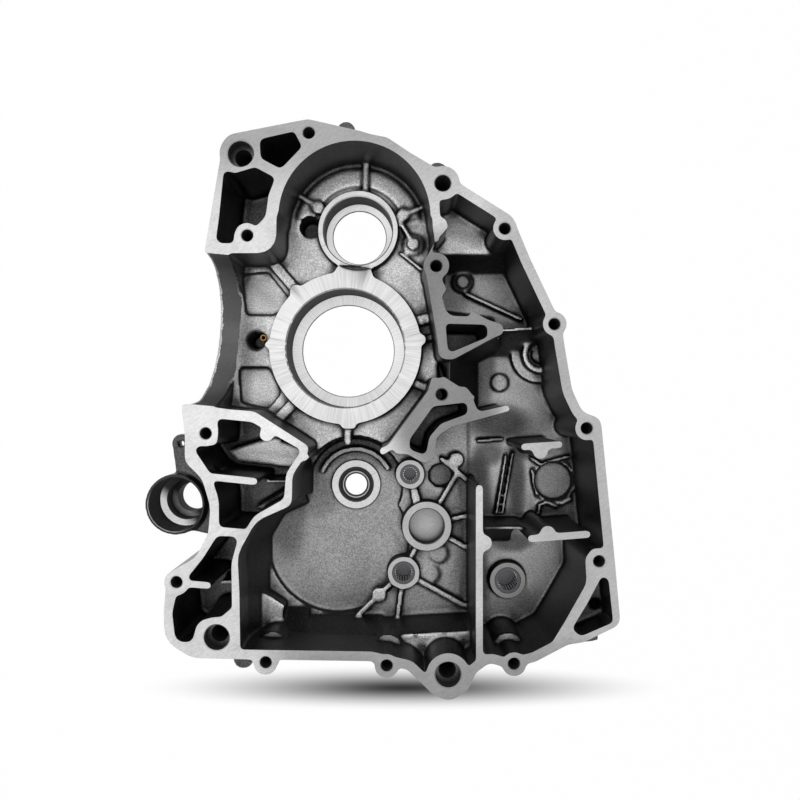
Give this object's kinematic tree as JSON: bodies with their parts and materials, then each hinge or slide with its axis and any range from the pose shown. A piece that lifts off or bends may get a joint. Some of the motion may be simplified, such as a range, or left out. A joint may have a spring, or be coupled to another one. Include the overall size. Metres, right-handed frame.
{
  "type": "crankcase half",
  "caption": "Cast crankcase half of a single-cylinder engine, with crank and balancer bearing seats, gearbox chambers and a machined joint face.",
  "frame": {"origin": "centre of the crank bearing seat at the face of its boss", "axes": "+Z along the crank axis out of the joint face, +Y towards the balancer shaft, the cylinder at -X"},
  "size_m": [0.273, 0.3326, 0.062],
  "materials": {
    "cast_aluminium": "sand-textured casting with machined faces",
    "bearing_shell": "drawn and ground",
    "bearing_cage": "pressed",
    "bearing_roller": "polished",
    "seal_rubber": "smooth matt",
    "spring_steel": "bright",
    "jet_brass": "turned"
  },
  "bodies": {
    "case": {"crankcase_casting": "cast_aluminium", "upper_needle_cup": "bearing_shell", "lower_needle_cup": "bearing_shell", "right_needle_cup": "bearing_shell", "shift_shaft_seal": "seal_rubber", "seal_garter_spring": "spring_steel", "oil_jet": "jet_brass"},
    "upper_needle_set": {"upper_needle_cage": "bearing_cage", "upper_needle_rollers": "bearing_roller"},
    "lower_needle_set": {"lower_needle_cage": "bearing_cage", "lower_needle_rollers": "bearing_roller"},
    "right_needle_set": {"right_needle_cage": "bearing_cage", "right_needle_rollers": "bearing_roller"}
  },
  "joints": [
    {"name": "upper_needle_spin", "type": "hinge", "parent": "case", "child": "upper_needle_set", "pos_m": [0.0397, -0.0785, -0.02], "axis": [0, 0, 1], "continuous": true},
    {"name": "lower_needle_spin", "type": "hinge", "parent": "case", "child": "lower_needle_set", "pos_m": [0.0356, -0.1407, -0.02], "axis": [0, 0, 1], "continuous": true},
    {"name": "right_needle_spin", "type": "hinge", "parent": "case", "child": "right_needle_set", "pos_m": [0.1014, -0.1455, -0.02], "axis": [0, 0, 1], "continuous": true}
  ]
}
